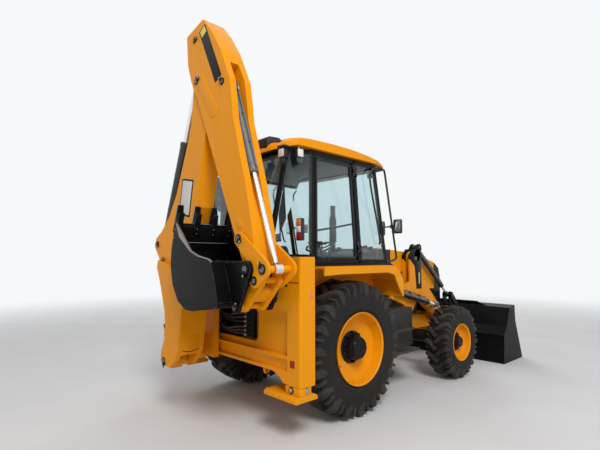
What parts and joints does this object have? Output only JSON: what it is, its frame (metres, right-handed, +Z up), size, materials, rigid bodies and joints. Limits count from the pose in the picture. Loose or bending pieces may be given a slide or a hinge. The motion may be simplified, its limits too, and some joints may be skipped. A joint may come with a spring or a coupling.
{
  "type": "backhoe loader",
  "caption": "Backhoe loader with a front loader bucket, side-shift backhoe folded and slewed to its right, glazed cab and box stabilisers, parked with the loader bucket on the ground.",
  "frame": {"origin": "middle of the floor area under the whole machine, at ground level", "axes": "+X forward towards the loader bucket, +Y to the machine's left, +Z up"},
  "size_m": [5.849, 2.5693, 4.0741],
  "materials": {
    "yellow_paint": "gloss paint",
    "black_paint": "satin paint",
    "grey_paint": "satin paint",
    "black_plastic": "matte",
    "clear_glass": "clear",
    "seat_fabric": "woven",
    "lamp_lens": "gloss",
    "tyre_rubber": "matte",
    "ram_black": "satin paint",
    "chrome_rod": "polished"
  },
  "bodies": {
    "machine": {"chassis": "yellow_paint", "rear_frame": "yellow_paint", "front_axle": "black_paint", "rear_axle": "black_paint", "engine": "grey_paint", "cowl": "black_plastic", "nose": "black_paint", "fenders": "yellow_paint", "tanks": "black_plastic", "cab_frame": "black_paint", "cab_roof": "yellow_paint", "cab_glass": "clear_glass", "seat": "seat_fabric", "console": "black_plastic", "lamps": "lamp_lens", "mirrors": "black_plastic"},
    "wheel_rear_left": {"tyre_rear_left": "tyre_rubber", "rim_rear_left": "yellow_paint"},
    "knuckle_left": {"knuckle_left": "black_paint"},
    "wheel_front_left": {"tyre_front_left": "tyre_rubber", "rim_front_left": "yellow_paint"},
    "door_left": {"door_left": "black_paint", "door_glass_left": "clear_glass"},
    "wheel_rear_right": {"tyre_rear_right": "tyre_rubber", "rim_rear_right": "yellow_paint"},
    "knuckle_right": {"knuckle_right": "black_paint"},
    "wheel_front_right": {"tyre_front_right": "tyre_rubber", "rim_front_right": "yellow_paint"},
    "door_right": {"door_right": "black_paint", "door_glass_right": "clear_glass"},
    "bonnet": {"bonnet": "yellow_paint"},
    "loader_arms": {"loader_arms": "yellow_paint"},
    "loader_bucket": {"loader_bucket": "black_paint"},
    "lift_barrels": {"lift_barrels": "ram_black"},
    "lift_rods": {"lift_rods": "chrome_rod"},
    "tip_levers": {"tip_levers": "black_paint"},
    "tip_links": {"tip_links": "black_paint"},
    "tip_barrels": {"tip_barrels": "ram_black"},
    "tip_rods": {"tip_rods": "chrome_rod"},
    "stabiliser_left": {"stabiliser_left": "yellow_paint"},
    "stabiliser_right": {"stabiliser_right": "yellow_paint"},
    "carriage": {"carriage": "yellow_paint"},
    "kingpost": {"kingpost": "yellow_paint"},
    "boom": {"boom": "yellow_paint"},
    "dipper": {"dipper": "yellow_paint"},
    "dig_bucket": {"dig_bucket": "black_paint"},
    "dig_lever": {"dig_lever": "yellow_paint"},
    "dig_link": {"dig_link": "yellow_paint"},
    "boom_barrel": {"boom_barrel": "ram_black"},
    "boom_rod": {"boom_rod": "chrome_rod"},
    "dipper_barrel": {"dipper_barrel": "ram_black"},
    "dipper_rod": {"dipper_rod": "chrome_rod"},
    "bucket_barrel": {"bucket_barrel": "grey_paint"},
    "bucket_rod": {"bucket_rod": "chrome_rod"}
  },
  "joints": [
    {"name": "wheel_rear_left_spin", "type": "hinge", "parent": "machine", "child": "wheel_rear_left", "pos_m": [-1.2245, 0.96968, 0.711], "axis": [0, 1, 0], "continuous": true},
    {"name": "wheel_rear_right_spin", "type": "hinge", "parent": "machine", "child": "wheel_rear_right", "pos_m": [-1.2245, -0.75032, 0.711], "axis": [0, 1, 0], "continuous": true},
    {"name": "steer_left", "type": "hinge", "parent": "machine", "child": "knuckle_left", "pos_m": [0.9455, 0.82968, 0.495], "axis": [0, 0, 1], "range_deg": [-33, 33]},
    {"name": "wheel_front_left_spin", "type": "hinge", "parent": "knuckle_left", "child": "wheel_front_left", "pos_m": [0.9455, 1.05968, 0.495], "axis": [0, 1, 0], "continuous": true},
    {"name": "steer_right", "type": "hinge", "parent": "machine", "child": "knuckle_right", "pos_m": [0.9455, -0.61032, 0.495], "axis": [0, 0, 1], "range_deg": [-33, 33]},
    {"name": "wheel_front_right_spin", "type": "hinge", "parent": "knuckle_right", "child": "wheel_front_right", "pos_m": [0.9455, -0.84032, 0.495], "axis": [0, 1, 0], "continuous": true},
    {"name": "door_left_hinge", "type": "hinge", "parent": "machine", "child": "door_left", "pos_m": [-0.9785, 0.99368, 1.645], "axis": [0.0878, 0, -0.9961], "range_deg": [0, 80]},
    {"name": "door_right_hinge", "type": "hinge", "parent": "machine", "child": "door_right", "pos_m": [-0.9785, -0.77432, 1.645], "axis": [-0.0878, 0, 0.9961], "range_deg": [0, 80]},
    {"name": "bonnet_hinge", "type": "hinge", "parent": "machine", "child": "bonnet", "pos_m": [-0.0525, 0.10968, 1.812], "axis": [0, -1, 0], "range_deg": [0, 50]},
    {"name": "loader_lift", "type": "hinge", "parent": "machine", "child": "loader_arms", "pos_m": [0.6755, 0.10968, 1.66], "axis": [0, -1, 0], "range_deg": [0, 95]},
    {"name": "bucket_tilt", "type": "hinge", "parent": "loader_arms", "child": "loader_bucket", "pos_m": [2.1055, 0.10968, 0.29], "axis": [0, 1, 0], "range_deg": [-38, 138]},
    {"name": "lift_barrel_swing", "type": "hinge", "parent": "machine", "child": "lift_barrels", "pos_m": [0.0955, 0.10968, 1.205], "axis": [0, -1, 0], "range_deg": [-0.5, 60]},
    {"name": "lift_rod_slide", "type": "slide", "parent": "lift_barrels", "child": "lift_rods", "axis": [0.9718, 0, -0.2357], "range_m": [-0.002, 0.58]},
    {"name": "tip_barrel_swing", "type": "hinge", "parent": "machine", "child": "tip_barrels", "pos_m": [0.7755, 0.10968, 1.815], "axis": [0, -1, 0], "range_deg": [-0.5, 115]},
    {"name": "tip_rod_slide", "type": "slide", "parent": "tip_barrels", "child": "tip_rods", "axis": [0.7809, 0, -0.6247], "range_m": [-0.1784, 0.6217]},
    {"name": "tip_lever_swing", "type": "hinge", "parent": "loader_arms", "child": "tip_levers", "pos_m": [1.7355, 0.10968, 0.6], "axis": [0, 1, 0], "range_deg": [-23.03, 80.99]},
    {"name": "tip_link_swing", "type": "hinge", "parent": "tip_levers", "child": "tip_links", "pos_m": [1.7005, 0.10968, 1.075], "axis": [0, 1, 0], "range_deg": [-43.89, 12.81]},
    {"name": "stabiliser_left_slide", "type": "slide", "parent": "machine", "child": "stabiliser_left", "axis": [0, 0, -1], "range_m": [0, 0.385]},
    {"name": "stabiliser_right_slide", "type": "slide", "parent": "machine", "child": "stabiliser_right", "axis": [0, 0, -1], "range_m": [0, 0.385]},
    {"name": "side_shift", "type": "slide", "parent": "machine", "child": "carriage", "axis": [0, -1, 0], "range_m": [0, 1]},
    {"name": "slew", "type": "hinge", "parent": "carriage", "child": "kingpost", "pos_m": [-2.6045, 0.60968, 0.67], "axis": [0, 0, -1], "range_deg": [0, 180]},
    {"name": "boom_lower", "type": "hinge", "parent": "kingpost", "child": "boom", "pos_m": [-2.6045, 0.46168, 0.586], "axis": [1, 0, 0], "range_deg": [0, 120]},
    {"name": "dipper_out", "type": "hinge", "parent": "boom", "child": "dipper", "pos_m": [-2.6045, -0.07136, 3.46202], "axis": [-1, 0, 0], "range_deg": [0, 125]},
    {"name": "dig_open", "type": "hinge", "parent": "dipper", "child": "dig_bucket", "pos_m": [-2.6045, -1.02916, 1.57408], "axis": [-1, 0, 0], "range_deg": [0, 175]},
    {"name": "boom_barrel_swing", "type": "hinge", "parent": "kingpost", "child": "boom_barrel", "pos_m": [-2.6045, 0.54968, 0.9], "axis": [1, 0, 0], "range_deg": [-0.5, 129.81]},
    {"name": "boom_rod_slide", "type": "slide", "parent": "boom_barrel", "child": "boom_rod", "axis": [0, 0.126, 0.992], "range_m": [-0.002, 0.552]},
    {"name": "dipper_barrel_swing", "type": "hinge", "parent": "boom", "child": "dipper_barrel", "pos_m": [-2.6045, 0.79316, 1.82109], "axis": [-1, 0, 0], "range_deg": [-1.3, 1]},
    {"name": "dipper_rod_slide", "type": "slide", "parent": "dipper_barrel", "child": "dipper_rod", "axis": [0, -0.3609, 0.9326], "range_m": [-0.8181, 0.002]},
    {"name": "dig_lever_swing", "type": "hinge", "parent": "dipper", "child": "dig_lever", "pos_m": [-2.6045, -0.87695, 1.8299], "axis": [-1, 0, 0], "range_deg": [-0.5, 113.16]},
    {"name": "dig_link_swing", "type": "hinge", "parent": "dig_lever", "child": "dig_link", "pos_m": [-2.6045, -1.10258, 1.48462], "axis": [-1, 0, 0], "range_deg": [-55.19, 1]},
    {"name": "bucket_barrel_swing", "type": "hinge", "parent": "dipper", "child": "bucket_barrel", "pos_m": [-2.6045, -0.54362, 3.30915], "axis": [-1, 0, 0], "range_deg": [-1, 2.34]},
    {"name": "bucket_rod_slide", "type": "slide", "parent": "bucket_barrel", "child": "bucket_rod", "axis": [0, -0.3576, -0.9339], "range_m": [-0.698, 0.002]}
  ],
  "couplings": [
    {"joint": "steer_right", "follows": "steer_left", "ratio": 1},
    {"joint": "lift_barrel_swing", "follows": "loader_lift", "ratio": 0.53611},
    {"joint": "lift_rod_slide", "follows": "loader_lift", "m_per_rad": 0.31317},
    {"joint": "tip_barrel_swing", "follows": "loader_lift", "ratio": 1.1099},
    {"joint": "tip_rod_slide", "follows": "bucket_tilt", "m_per_rad": 0.25397},
    {"joint": "tip_lever_swing", "follows": "bucket_tilt", "ratio": 0.57962},
    {"joint": "tip_link_swing", "follows": "bucket_tilt", "ratio": -0.31081},
    {"joint": "boom_barrel_swing", "follows": "boom_lower", "ratio": 1.0776},
    {"joint": "boom_rod_slide", "follows": "boom_lower", "m_per_rad": 0.25885},
    {"joint": "dipper_barrel_swing", "follows": "dipper_out", "ratio": -0.00238},
    {"joint": "dipper_rod_slide", "follows": "dipper_out", "m_per_rad": -0.3704},
    {"joint": "dig_lever_swing", "follows": "dig_open", "ratio": 0.64089},
    {"joint": "dig_link_swing", "follows": "dig_open", "ratio": -0.30964},
    {"joint": "bucket_barrel_swing", "follows": "dig_open", "ratio": 0.00768},
    {"joint": "bucket_rod_slide", "follows": "dig_open", "m_per_rad": -0.22524}
  ]
}
